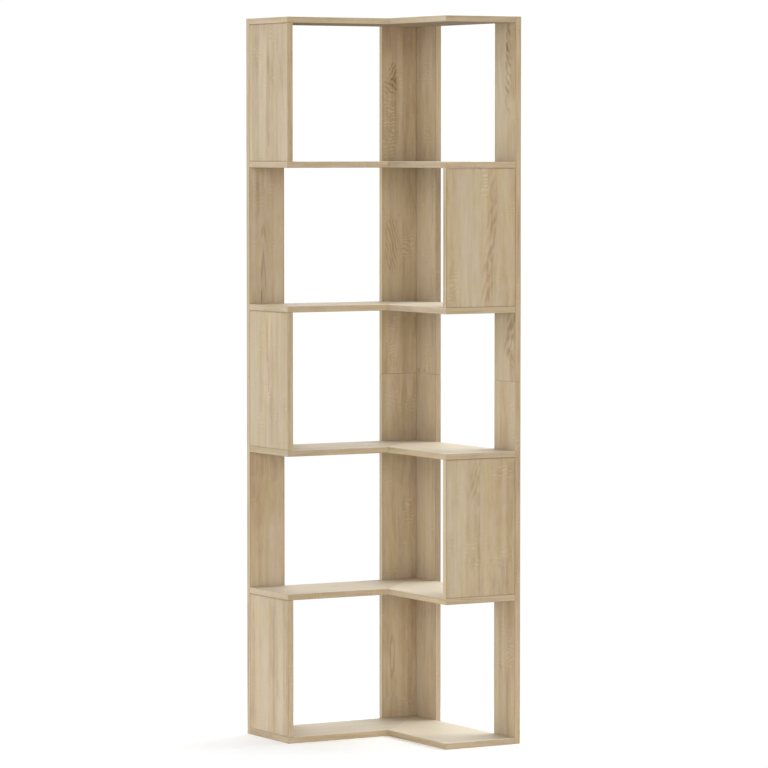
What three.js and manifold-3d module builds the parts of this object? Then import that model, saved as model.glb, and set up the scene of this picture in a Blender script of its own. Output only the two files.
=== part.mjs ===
// Corner shelf unit: two equal wings at a right angle, standing in the corner of two walls.
// L-shaped shelves butt on the fronts of narrow uprights that stand along the walls, and every
// other tier of each wing is closed by an end panel, first on the left wing, then on the right.
// Millimetres, +Z up. The origin is the middle of the square footprint, at the floor. The walls
// are at +Y (left wing) and +X (right wing), and the room lies towards -X and -Y.
import * as THREE from 'three';
import { mergeVertices } from 'three/addons/utils/BufferGeometryUtils.js';
import Module from 'manifold-3d';

const wasm = await Module();
wasm.setup();

// The whole unit
const unitHeight = 1800;
const wingLength = 500;
const wingDepth = 215;
const tierCount = 5;
const panelTierStep = 2;

// Boards
const uprightWidth = 100;
const uprightThickness = 15;
const shelfThickness = 15;
const panelThickness = 15;
const edgeEase = 0.6;
const boardGap = 0.3;

// Screws, driven through the backs of the uprights
const screwLength = 50;
const screwDiameter = 7;
const screwTipDiameter = 4;
const screwTipLength = 5;
const screwHeadDiameter = 10;
const screwHeadHeight = 3;
const screwSunk = 0.3;
const screwClearance = 0.3;
const socketAcrossFlats = 4;
const socketDepth = 2.4;

// Dowels
const dowelLength = 30;
const dowelDiameter = 8;
const dowelEase = 1;
const dowelClearance = 0.3;
const dowelDepthInShelf = 9;

// Bores
const boreEndClearance = 1;
const boreOverrun = 1;
const roundSides = 12;
const hexagonSides = 6;

// Heights: shelf 1 lies on the floor, and tier 1 is the space above it
const tierPitch = (unitHeight - shelfThickness) / tierCount;
const shelfBottom = (shelf) => (shelf - 1) * tierPitch;
const shelfTop = (shelf) => shelfBottom(shelf) + shelfThickness;
const shelfMiddle = (shelf) => shelfBottom(shelf) + shelfThickness / 2;
const tierMiddle = (tier) => (shelfTop(tier) + shelfBottom(tier + 1)) / 2;
const splitTier = Math.ceil(tierCount / 2);
const splitHeight = tierMiddle(splitTier);

// Places in plan: along is the distance from the outer corner along a wing's wall,
// and out is the distance from that wall into the room
const outerCorner = wingLength / 2;
const wings = {
  left: {
    point: (along, out) => new THREE.Vector2(outerCorner - along, outerCorner - out),
    towardsWall: new THREE.Vector3(0, 1, 0),
    firstPanelTier: 1,
  },
  right: {
    point: (along, out) => new THREE.Vector2(outerCorner - out, outerCorner - along),
    towardsWall: new THREE.Vector3(1, 0, 0),
    firstPanelTier: 2,
  },
};
const shelfBack = uprightThickness + boardGap;
const columnReach = uprightThickness + uprightWidth;
const endMiddle = wingLength - uprightWidth / 2;
const columnMiddle = uprightThickness + uprightWidth / 2;

// The left corner upright runs on into the corner, and the right one butts on its front
const endUpright = { from: wingLength - uprightWidth, to: wingLength, screwAt: endMiddle };
const uprights = [
  { place: 'left_end', wing: 'left', ...endUpright },
  { place: 'left_corner', wing: 'left', from: 0, to: columnReach, screwAt: columnMiddle },
  { place: 'right_corner', wing: 'right', from: shelfBack, to: columnReach, screwAt: columnMiddle },
  { place: 'right_end', wing: 'right', ...endUpright },
];

// Materials
const oakColour = 0xcdbb98;
const shelfOakColour = 0xd3c3a2;
const panelOakColour = 0xc9b591;
const steelColour = 0xb8b9bb;
const beechColour = 0xd9b98a;

function woodMaterial(colour) {
  return new THREE.MeshStandardMaterial({ color: colour, roughness: 0.55, flatShading: true });
}

function steelMaterial() {
  return new THREE.MeshStandardMaterial({ color: steelColour, roughness: 0.35, metalness: 1 });
}

// Solids and meshes
function solidOf(geometry) {
  const plain = geometry.clone();
  plain.deleteAttribute('normal');
  plain.deleteAttribute('uv');
  const merged = mergeVertices(plain);
  return new wasm.Manifold(new wasm.Mesh({
    numProp: 3,
    vertProperties: new Float32Array(merged.attributes.position.array),
    triVerts: new Uint32Array(merged.index.array),
  }));
}

function geometryOf(solid) {
  const mesh = solid.getMesh();
  const geometry = new THREE.BufferGeometry();
  geometry.setAttribute('position', new THREE.BufferAttribute(mesh.vertProperties, mesh.numProp));
  geometry.setIndex(new THREE.BufferAttribute(mesh.triVerts, 1));
  geometry.computeVertexNormals();
  return geometry;
}

// Takes the cutters out of a piece. The piece and the cutters are all placed in the unit's frame.
function cutOut(piece, cutters) {
  piece.updateMatrixWorld(true);
  const toPiece = piece.matrixWorld.clone().invert();
  let solid = solidOf(piece.geometry);
  for (const cutter of cutters) {
    cutter.updateMatrixWorld(true);
    const placed = cutter.geometry.clone().applyMatrix4(toPiece.clone().multiply(cutter.matrixWorld));
    solid = solid.subtract(solidOf(placed));
  }
  piece.geometry = geometryOf(solid);
}

// A closed turned solid along Z from [radius, height] pairs, listed from the bottom up
function turned(profile) {
  const onAxis = (height) => new THREE.Vector2(0, height);
  const outline = profile.map(([radius, height]) => new THREE.Vector2(radius, height));
  const closed = [onAxis(profile[0][1]), ...outline, onAxis(profile.at(-1)[1])];
  return new THREE.LatheGeometry(closed, roundSides).rotateX(Math.PI / 2);
}

// Boards are plan outlines raised to their height, with all their outer edges eased
function easedShape(corners) {
  const points = corners.flatMap((corner, index) => {
    const before = corners.at(index - 1).clone().sub(corner).normalize();
    const after = corners[(index + 1) % corners.length].clone().sub(corner).normalize();
    if (after.cross(before) < 0) {
      return [corner];
    }
    return [corner.clone().addScaledVector(before, edgeEase), corner.clone().addScaledVector(after, edgeEase)];
  });
  return new THREE.Shape(points);
}

function board(name, material, corners, bottom, top) {
  const geometry = new THREE.ExtrudeGeometry(easedShape(corners), {
    depth: top - bottom - 2 * edgeEase,
    bevelThickness: edgeEase,
    bevelSize: edgeEase,
    bevelOffset: -edgeEase,
    bevelSegments: 1,
  });
  const mesh = new THREE.Mesh(geometry, material);
  mesh.name = name;
  mesh.position.z = bottom + edgeEase;
  return mesh;
}

// The four corners of a rectangle in plan, counterclockwise from above
function planRectangle(wing, alongFrom, alongTo, outFrom, outTo) {
  const a = wing.point(alongTo, outTo);
  const b = wing.point(alongFrom, outFrom);
  return [a, new THREE.Vector2(b.x, a.y), b, new THREE.Vector2(a.x, b.y)];
}

// An upright in two pieces, one above the other
function uprightPieces({ place, wing, from, to }) {
  const corners = planRectangle(wings[wing], from, to, 0, uprightThickness);
  const lowerTop = splitHeight - boardGap / 2;
  const upperBottom = splitHeight + boardGap / 2;
  return {
    lower: board(`upright_${place}_lower`, woodMaterial(oakColour), corners, 0, lowerTop),
    upper: board(`upright_${place}_upper`, woodMaterial(oakColour), corners, upperBottom, unitHeight),
  };
}

// An L-shaped shelf, from the left wing's end round the inner corner to the right wing's end
function shelfBoard(shelf) {
  const { left, right } = wings;
  const corners = [
    left.point(wingLength, shelfBack),
    left.point(wingLength, wingDepth),
    left.point(wingDepth, wingDepth),
    right.point(wingLength, wingDepth),
    right.point(wingLength, shelfBack),
    left.point(shelfBack, shelfBack),
  ];
  return board(`shelf_${shelf}`, woodMaterial(shelfOakColour), corners, shelfBottom(shelf), shelfTop(shelf));
}

// A panel that closes a wing's end, between two shelves and flush with their ends and fronts
function endPanel(side, tier) {
  const corners = planRectangle(wings[side], wingLength - panelThickness, wingLength, shelfBack, wingDepth);
  const bottom = shelfTop(tier) + boardGap;
  const top = shelfBottom(tier + 1) - boardGap;
  return board(`end_panel_${side}_tier_${tier}`, woodMaterial(panelOakColour), corners, bottom, top);
}

// A countersunk screw with a hexagon socket. Its origin is the middle of its head's outer face,
// and it runs down from there.
function screwGeometry() {
  const shaft = turned([
    [screwTipDiameter / 2, -screwLength],
    [screwDiameter / 2, screwTipLength - screwLength],
    [screwDiameter / 2, -screwHeadHeight],
    [screwHeadDiameter / 2, 0],
  ]);
  const socketRadius = socketAcrossFlats / Math.sqrt(3);
  const socketHeight = socketDepth + boreOverrun;
  const socket = new THREE.CylinderGeometry(socketRadius, socketRadius, socketHeight, hexagonSides);
  socket.rotateX(Math.PI / 2).translate(0, 0, socketHeight / 2 - socketDepth);
  return geometryOf(solidOf(shaft).subtract(solidOf(socket)));
}

function screwBoreGeometry() {
  const boreRadius = screwDiameter / 2 + screwClearance;
  const headRadius = screwHeadDiameter / 2 + screwClearance;
  return turned([
    [boreRadius, -screwLength - boreEndClearance],
    [boreRadius, -screwHeadHeight - screwClearance],
    [headRadius, 0],
    [headRadius, screwSunk + boreOverrun],
  ]);
}

// A dowel with eased ends, centred on its origin
function dowelGeometry() {
  const radius = dowelDiameter / 2;
  const end = dowelLength / 2;
  return turned([
    [radius - dowelEase, -end],
    [radius, dowelEase - end],
    [radius, end - dowelEase],
    [radius - dowelEase, end],
  ]);
}

function dowelBoreGeometry() {
  const radius = dowelDiameter / 2 + dowelClearance;
  const end = dowelLength / 2 + boreEndClearance;
  return turned([[radius, -end], [radius, end]]);
}

const unit = new THREE.Group();
const bores = new Map();

function addBoard(mesh) {
  unit.add(mesh);
  bores.set(mesh, []);
  return mesh;
}

// Places a fastener, and gives each board that it joins a bore for it
function fasten(name, kind, position, direction, boards) {
  const fastener = new THREE.Mesh(kind.geometry, kind.material());
  fastener.name = name;
  fastener.position.copy(position);
  fastener.quaternion.setFromUnitVectors(new THREE.Vector3(0, 0, 1), direction);
  unit.add(fastener);
  const bore = new THREE.Mesh(kind.boreGeometry);
  bore.position.copy(fastener.position);
  bore.quaternion.copy(fastener.quaternion);
  boards.forEach((joined) => bores.get(joined).push(bore));
}

const screwKind = { geometry: screwGeometry(), boreGeometry: screwBoreGeometry(), material: steelMaterial };
const dowelKind = {
  geometry: dowelGeometry(),
  boreGeometry: dowelBoreGeometry(),
  material: () => woodMaterial(beechColour),
};
const upwards = new THREE.Vector3(0, 0, 1);

// A point at a place in plan and a height
function placeAt(planPoint, height) {
  return new THREE.Vector3(planPoint.x, planPoint.y, height);
}

// Shelves
const shelves = new Map();
for (let shelf = 1; shelf <= tierCount + 1; shelf += 1) {
  shelves.set(shelf, addBoard(shelfBoard(shelf)));
}

// Uprights, the dowel in each one's splice, and the screws that hold the shelves to it
const columnBoards = {};
for (const upright of uprights) {
  const wing = wings[upright.wing];
  const { lower, upper } = uprightPieces(upright);
  addBoard(lower);
  addBoard(upper);
  columnBoards[upright.place] = { lower, upper };
  const spliceAt = placeAt(wing.point(upright.screwAt, uprightThickness / 2), splitHeight);
  fasten(`dowel_splice_${upright.place}`, dowelKind, spliceAt, upwards, [lower, upper]);
  for (const [shelf, shelfMesh] of shelves) {
    const height = shelfMiddle(shelf);
    const piece = height < splitHeight ? lower : upper;
    const headAt = placeAt(wing.point(upright.screwAt, screwSunk), height);
    const name = `screw_${upright.place}_shelf_${shelf}`;
    fasten(name, screwKind, headAt, wing.towardsWall, [piece, shelfMesh]);
  }
}

// Screws that close the corner column: through the left board's back into the right board's edge,
// halfway between shelves, one in each half of the column
for (const [half, tier] of [['lower', splitTier - 1], ['upper', splitTier + 1]]) {
  const headAt = placeAt(wings.left.point(uprightThickness / 2, screwSunk), tierMiddle(tier));
  const joined = [columnBoards.left_corner[half], columnBoards.right_corner[half]];
  fasten(`screw_column_${half}`, screwKind, headAt, wings.left.towardsWall, joined);
}

// End panels, with a dowel into the shelf below and one into the shelf above
for (const [side, wing] of Object.entries(wings)) {
  for (let tier = wing.firstPanelTier; tier <= tierCount; tier += panelTierStep) {
    const panel = addBoard(endPanel(side, tier));
    const planPoint = wing.point(wingLength - panelThickness / 2, (shelfBack + wingDepth) / 2);
    const dowelRise = dowelLength / 2 - dowelDepthInShelf;
    const bottomAt = placeAt(planPoint, shelfTop(tier) + dowelRise);
    const topAt = placeAt(planPoint, shelfBottom(tier + 1) - dowelRise);
    const below = [panel, shelves.get(tier)];
    const above = [panel, shelves.get(tier + 1)];
    fasten(`dowel_${side}_tier_${tier}_bottom`, dowelKind, bottomAt, upwards, below);
    fasten(`dowel_${side}_tier_${tier}_top`, dowelKind, topAt, upwards, above);
  }
}

for (const [mesh, cutters] of bores) {
  cutOut(mesh, cutters);
}

export default unit;
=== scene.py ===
import math

import bmesh
import bpy
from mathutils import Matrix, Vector


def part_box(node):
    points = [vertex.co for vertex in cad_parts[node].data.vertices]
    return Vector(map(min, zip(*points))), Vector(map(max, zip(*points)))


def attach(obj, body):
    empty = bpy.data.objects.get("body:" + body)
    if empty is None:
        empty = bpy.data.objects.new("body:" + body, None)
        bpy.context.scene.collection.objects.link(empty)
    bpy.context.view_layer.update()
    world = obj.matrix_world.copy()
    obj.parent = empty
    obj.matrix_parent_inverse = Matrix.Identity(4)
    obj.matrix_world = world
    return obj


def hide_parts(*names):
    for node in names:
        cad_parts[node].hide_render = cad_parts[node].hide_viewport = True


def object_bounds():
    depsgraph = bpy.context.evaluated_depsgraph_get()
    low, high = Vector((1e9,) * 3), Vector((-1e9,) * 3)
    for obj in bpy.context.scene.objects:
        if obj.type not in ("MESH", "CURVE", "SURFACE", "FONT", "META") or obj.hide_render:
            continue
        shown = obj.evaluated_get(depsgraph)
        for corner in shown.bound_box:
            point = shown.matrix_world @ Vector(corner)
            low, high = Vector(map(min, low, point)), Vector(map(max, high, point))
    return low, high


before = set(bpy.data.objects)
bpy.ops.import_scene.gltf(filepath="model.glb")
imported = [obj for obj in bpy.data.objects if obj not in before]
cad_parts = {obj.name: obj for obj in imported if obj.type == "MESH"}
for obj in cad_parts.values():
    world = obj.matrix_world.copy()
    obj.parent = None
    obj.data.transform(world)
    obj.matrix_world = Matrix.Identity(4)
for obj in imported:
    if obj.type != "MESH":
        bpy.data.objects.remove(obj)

CAD_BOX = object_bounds()
AXES = (Vector((1, 0, 0)), Vector((0, 1, 0)), Vector((0, 0, 1)))
WHITE = (1.0, 1.0, 1.0)

# Camera: a long lens in front of the unit and to its left, at eye height
CAMERA_AZIMUTH = math.radians(-30.05)
CAMERA_PITCH = math.radians(3.227)
CAMERA_DISTANCE = 10.616
CAMERA_AIM = Vector((0.0281, 0.0413, 0.8866))
CAMERA_LENS = 198.63
CAMERA_SENSOR = 36.0

# Lights: where each comes from, its strength, its colour and its width in degrees
LIGHTS = {
    "front_light": ((-0.50, -0.87, 0.10), 0.49, WHITE, 30),
    "left_light": ((-0.90, 0.30, 0.10), 0.567, (0.95, 1.00, 1.07), 60),
    "right_light": ((1.00, 0.00, 0.60), 0.90, (1.00, 1.00, 0.94), 60),
    "back_light": ((0.50, 0.87, 0.60), 0.355, (1.02, 1.00, 0.97), 60),
    "floor_glow": ((-0.50, -0.87, -0.50), 0.206, (1.11, 1.00, 0.87), 60),
}

# Surroundings: how strongly they light the unit, and how bright they look behind it
SURROUNDINGS_LIGHT = 0.34
SURROUNDINGS_SEEN = 1.02

# Floor: a pale disc with a faint glow that fades out with the distance from its middle
FLOOR_RADIUS = 2.0
FLOOR_SEGMENTS = 96
FLOOR_GAP = 0.0002
FLOOR_FADE = (0.10, 0.85)
FLOOR_GLOW = 0.26
FLOOR_MOTTLE_SCALE = 9.0
FLOOR_TONES = ((0.3, (0.92, 0.92, 0.92)), (0.7, (0.96, 0.96, 0.96)))
FLOOR_ROUGHNESS = 0.8
FLOOR_ROUGHNESS_SWING = 0.1

# Laminate: sizes of the print, as (across the grain, along the grain) where there are two
STAVE_WIDTH = 0.050
STAVE_LENGTH = 5.0
WAVER_SIZE = (0.070, 0.150)
WAVER_REACH = 0.010
SAW_PITCH = 0.0100
SAW_PATCH_LENGTH = 0.11
STROKE_WANDER_SIZE = (0.016, 0.050)

# Laminate: layers of the print, as (size, a seed that sets the layer apart, detail, roughness)
LAYERS = {
    "bands": ((0.017, 0.24), 3.0, 2.0, 0.5),
    "lines": ((0.0050, 0.09), 5.0, 1.0, 0.5),
    "drift": ((0.050, 0.55), 7.0, 2.0, 0.5),
    "blotches": ((0.011, 0.045), 9.0, 2.0, 0.5),
    "fibres": ((0.0022, 0.075), 11.0, 5.0, 0.7),
    "pores": ((0.0008, 0.018), 17.0, 1.0, 0.5),
    "rings": ((0.052, 0.62), 23.0, 1.5, 0.5),
    "figure patches": ((0.040, 0.24), 29.0, 1.0, 0.5),
    "saw wander": ((0.020, 0.024), 31.0, 1.0, 0.5),
    "saw clusters": ((0.016, 0.034), 37.0, 1.0, 0.5),
    "hue": ((0.026, 0.110), 41.0, 1.0, 0.5),
}

# Laminate: where each pattern starts to show and where it is full
PORE_RANGE = (0.60, 0.75)
FIGURE_PATCH_RANGE = (0.54, 0.78)
RING_RANGE = (-0.2, 1.0)
SAW_PATCH_RANGE = (0.58, 0.68)
SAW_CLUSTER_RANGE = (0.36, 0.62)
SAW_LINE_RANGE = (-0.3, 0.9)
STROKE_RANGE = (-0.8, 0.9)
HUE_RANGE = (0.30, 0.70)
MARK_RANGE = (0.15, 1.25)

# Laminate: how many growth rings there are, and how far rings, saw marks and strokes stray
GROWTH_RINGS = 9.0
RING_STRAY = 0.30
SAW_STRAY = 2.2
STROKE_STRAY = 1.9

# Laminate: strength of the rings and saw marks that no mark asks for, and the drift's change of tint
RANDOM_RINGS = 0.35
RANDOM_SAW_MARKS = 0.40
DRIFT_TINT = 1.2

# Laminate: what each layer of the print adds to its tone, height and roughness
TONE = {
    "base": 0.51, "staves": 0.14, "bands": 0.32, "lines": 0.17, "blotches": 0.24, "drift": 0.36,
    "fibres": 0.26, "pores": -0.14, "rings": -0.26, "strokes": -0.27, "saw lines": 0.24,
    "sawn patch": -0.06,
}
HEIGHT = {"fibres": 0.5, "pores": -0.5, "rings": -0.3, "strokes": -0.3, "saw lines": 0.6}
ROUGHNESS = {"base": 0.52, "fibres": 0.16, "pores": 0.14, "saw lines": 0.05}
LAMINATE_SPECULAR = 0.08
LAMINATE_BUMP = (0.35, 0.00012)

# Seeds: steps that keep boards, wings, faces and staves from repeating each other
BOARD_SEED = 0.618
WING_SEED = 0.37
FACE_SEED = {"upper": 3.7, "side": 7.3, "end": 11.9, "far": 1.9}
STRIP_SEED = 37.0
PIECE_SEED = 31.0
STAVE_LAYER_SEED = 5.0
STAVE_PATCH_SEED = 40.0
SAW_PATCH_SEED = 70.0

# Faces: a face looks along an axis where its normal's share of that axis is above this
STEEP = 0.72

# Edges: a glue line beside each edge band, a rubbed corner outside it and a darker strip along each
# face's rim
SEAM_INSET = 0.0011
SEAM_WIDTH = 0.0009
CHAMFER_WIDTH = 0.0007
RIM_DARK_WIDTH = 0.0050
SEAM_SHARE = 0.50
MITRE_SHARE = 0.5
SEAM_HEIGHT = -0.6
RUBBED_SHARE = 0.12
RIM_DARK_SHARE = 0.6
SEAM_COLOUR = (0.15, 0.10, 0.06)
RUBBED_COLOUR = (0.70, 0.62, 0.48)
RIM_DARK_COLOUR = (0.70, 0.66, 0.58)

# Laminate: the print's colours from its darkest lines to its palest streaks, and its tints
OAK_TONES = (
    (0.00, (0.232, 0.150, 0.085)),
    (0.25, (0.350, 0.259, 0.157)),
    (0.50, (0.466, 0.368, 0.244)),
    (0.75, (0.540, 0.446, 0.315)),
    (1.00, (0.610, 0.520, 0.390)),
)
PINK_TINT = (1.016, 0.987, 0.950)
GREEN_TINT = (0.987, 0.998, 1.010)
OLIVE_TINT = (0.995, 1.003, 0.940)
LILAC_TINT = (1.005, 0.997, 1.045)

# Streaks on the boards' edges and on the shelves' tops only: their sizes and change of tone
EDGE_STREAK_SIZE = (0.0060, 0.16)
EDGE_STREAK_TONE = 0.42
TOP_STREAK_SIZE = (0.055, 0.22)
TOP_STREAK_TONE = 0.90

# Sheen: the soft pale glow of the laminate when it is seen along its surface
SHEEN = 0.35
SHELF_SHEEN = 0.10
SHEEN_TINT = (1.00, 0.92, 0.78)

# Shelves: painted sheen on the tops, as how far their colour is mixed towards a pale colour (left
# wing, right wing), and painted shade on their undersides
PAINTED_SHEEN_COLOUR = (0.85, 0.78, 0.65)
PAINTED_SHEEN_SHARES = {
    "shelf_1": (0.68, 0.78),
    "shelf_2": (0.52, 0.80),
    "shelf_3": (0.52, 0.70),
    "shelf_4": (0.36, 0.72),
    "shelf_5": (0.50, 0.62),
    "shelf_6": (0.50, 0.62),
}
UNDERSIDE_SHADE_COLOUR = (0.74, 0.70, 0.64)

# Corners: painted shade, the shelves' tops are darkened by ambient occlusion towards an upright or a
# panel
CORNER_SHADE_REACH = 0.250
CORNER_SHADE_RANGE = (0.35, 0.90)
CORNER_SHADE_SAMPLES = 6
CORNER_SHADE_COLOUR = (0.62, 0.56, 0.47)

# Chipboard: the scales of its chips and dust, their shares of its tone, and its colours
CHIP_SCALE = 520.0
DUST_SCALE = 1400.0
CHIP_TONE = 0.6
DUST_TONE = 0.6
CHIPBOARD_BASE_TONE = 0.2
CHIPBOARD_TONES = (
    (0.0, (0.14, 0.085, 0.045)),
    (0.5, (0.36, 0.25, 0.145)),
    (1.0, (0.60, 0.47, 0.31)),
)
CHIPBOARD_ROUGHNESS = 0.3

# Steel: zinc plating with a mottle and fine scuffs
STEEL_MOTTLE_SCALE = 420.0
STEEL_SCUFF_SCALE = (2600.0, 900.0, 900.0)
STEEL_TONES = ((0.3, (0.42, 0.42, 0.43)), (0.7, (0.66, 0.66, 0.67)))
STEEL_ROUGHNESS = {"base": 0.26, "mottle": 0.30, "scuffs": 0.16}
STEEL_BUMP = (0.2, 0.00005)

# Beech: raw wood with fibres along the peg and dark flecks
BEECH_FIBRE_SCALE = (1300.0, 1300.0, 110.0)
BEECH_FLECK_SCALE = (1900.0, 1900.0, 420.0)
BEECH_FLECK_RANGE = (0.58, 0.70)
BEECH_FLECK_TONE = -0.25
BEECH_TONES = ((0.25, (0.42, 0.26, 0.14)), (0.75, (0.70, 0.52, 0.33)))
BEECH_ROUGHNESS = {"base": 0.62, "fibres": 0.2}
BEECH_BUMP = (0.3, 0.0001)

# Fasteners: edges sharper than this stay sharp
SHARP_ANGLE = math.radians(35)

# Screws: heights count from the head's outer face, and a profile point is (radius, height)
SOCKET_ACROSS_FLATS = 0.0040
SOCKET_EASE = 0.00015
SOCKET_DEPTH = 0.0024
SOCKET_POINT = 0.0029
SOCKET_POINT_SHARE = 0.1
HEXAGON_SIDES = 6
SCREW_PROFILE = (
    (0.00460, -0.00000),
    (0.00490, -0.00020),
    (0.00338, -0.00300),
    (0.00338, -0.01400),
    (0.00250, -0.01480),
    (0.00250, -0.04650),
    (0.00060, -0.04960),
)
SCREW_SEGMENTS = 48
THREAD_PITCH = 0.0030
THREAD_TOP = -0.0160
THREAD_TURNS = 10
THREAD_STEPS = 24
THREAD_ROOT = 0.0024
THREAD_CREST = 0.00338
THREAD_HALF_WIDTH = 0.0009

# Dowels: turned pegs with flutes along them
DOWEL_HALF_LENGTH = 0.0150
DOWEL_EASE = 0.0010
DOWEL_RADIUS = 0.0039
FLUTE_COUNT = 18
FLUTE_DEPTH = 0.0003
FLUTE_SEGMENTS = 6


class Graph:
    """Adds nodes to one shader tree. An input is another node's socket or a plain value."""

    def __init__(self, tree):
        self.tree = tree

    def node(self, kind, inputs=None, **settings):
        made = self.tree.nodes.new(kind)
        for key, value in settings.items():
            setattr(made, key, value)
        for key, value in (inputs or {}).items():
            self.feed(made.inputs[key], value)
        return made

    def feed(self, socket, value):
        if isinstance(value, bpy.types.NodeSocket):
            self.tree.links.new(value, socket)
        else:
            socket.default_value = value

    def math(self, operation, first, second=0.0):
        return self.node("ShaderNodeMath", {0: first, 1: second}, operation=operation).outputs[0]

    def add(self, *terms):
        total = terms[0]
        for term in terms[1:]:
            total = self.math("ADD", total, term)
        return total

    def subtract(self, first, second):
        return self.math("SUBTRACT", first, second)

    def multiply(self, *factors):
        product = factors[0]
        for factor in factors[1:]:
            product = self.math("MULTIPLY", product, factor)
        return product

    def invert(self, value):
        return self.math("SUBTRACT", 1.0, value)

    def clamp(self, value):
        return self.node("ShaderNodeClamp", {0: value}).outputs[0]

    def swing(self, value, amount):
        """A value between 0 and 1 turned into one between minus and plus half the amount."""
        return self.multiply(self.subtract(value, 0.5), amount)

    def step(self, value, start, end):
        """0 below start, 1 above end and smooth between them."""
        inputs = {"Value": value, "From Min": start, "From Max": end}
        return self.node("ShaderNodeMapRange", inputs, interpolation_type="SMOOTHSTEP").outputs[0]

    def wave(self, turns):
        return self.math("SINE", self.multiply(turns, 2 * math.pi))

    def place(self):
        """Where a point is on its object."""
        return self.node("ShaderNodeTexCoord").outputs["Object"]

    def vector(self, operation, first, second=(0.0, 0.0, 0.0)):
        made = self.node("ShaderNodeVectorMath", {0: first, 1: second}, operation=operation)
        return made.outputs["Value" if operation == "DOT_PRODUCT" else "Vector"]

    def scale(self, vector, amount):
        return self.vector("MULTIPLY", vector, (amount,) * 3)

    def combine(self, x, y, z):
        return self.node("ShaderNodeCombineXYZ", {0: x, 1: y, 2: z}).outputs[0]

    def separate(self, value):
        return self.node("ShaderNodeSeparateXYZ", {0: value}).outputs

    def noise(self, vector, detail=2.0, roughness=0.5):
        inputs = {"Vector": vector, "Scale": 1.0, "Detail": detail, "Roughness": roughness}
        return self.node("ShaderNodeTexNoise", inputs, noise_dimensions="3D").outputs[0]

    def streaks(self, across, along, size, layer, **settings):
        """Noise drawn out along the grain. Its size is across and along the grain."""
        spot = self.combine(self.multiply(across, 1 / size[0]), self.multiply(along, 1 / size[1]),
                            layer)
        return self.noise(spot, **settings)

    def noise_line(self, place, detail=1.0):
        inputs = {"W": place, "Scale": 1.0, "Detail": detail}
        return self.node("ShaderNodeTexNoise", inputs, noise_dimensions="1D").outputs[0]

    def mix_colour(self, share, first, second, blend="MIX"):
        inputs = {0: share, 6: first, 7: second}
        return self.node("ShaderNodeMix", inputs, data_type="RGBA", blend_type=blend).outputs[2]

    def mix_vector(self, share, first, second):
        inputs = {0: share, 4: first, 5: second}
        return self.node("ShaderNodeMix", inputs, data_type="VECTOR").outputs[1]

    def ramp(self, value, stops):
        made = self.node("ShaderNodeValToRGB", {0: value})
        elements = made.color_ramp.elements
        while len(elements) < len(stops):
            elements.new(1.0)
        for element, (place, colour) in zip(elements, stops):
            element.position = place
            element.color = (*colour, 1.0)
        return made.outputs[0]

    def bump(self, height, strength, distance):
        inputs = {"Height": height, "Strength": strength, "Distance": distance}
        return self.node("ShaderNodeBump", inputs).outputs[0]


def rgba(colour):
    return (*colour, 1.0)


def new_group(name, inputs, outputs):
    """A node group with its sockets, and the graph, inputs and output sockets to fill it with."""
    tree = bpy.data.node_groups.new(name, "ShaderNodeTree")
    for label, kind in inputs:
        tree.interface.new_socket(label, in_out="INPUT", socket_type="NodeSocket" + kind)
    for label, kind in outputs:
        tree.interface.new_socket(label, in_out="OUTPUT", socket_type="NodeSocket" + kind)
    graph = Graph(tree)
    return tree, graph, graph.node("NodeGroupInput").outputs, graph.node("NodeGroupOutput").inputs


def use_group(graph, tree, inputs):
    return graph.node("ShaderNodeGroup", inputs, node_tree=tree).outputs


def new_material(name):
    material = bpy.data.materials.new(name)
    material.use_nodes = True
    material.node_tree.nodes.clear()
    return material, Graph(material.node_tree)


def end_material(graph, inputs):
    shader = graph.node("ShaderNodeBsdfPrincipled", inputs)
    graph.node("ShaderNodeOutputMaterial", {"Surface": shader.outputs[0]})


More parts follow.
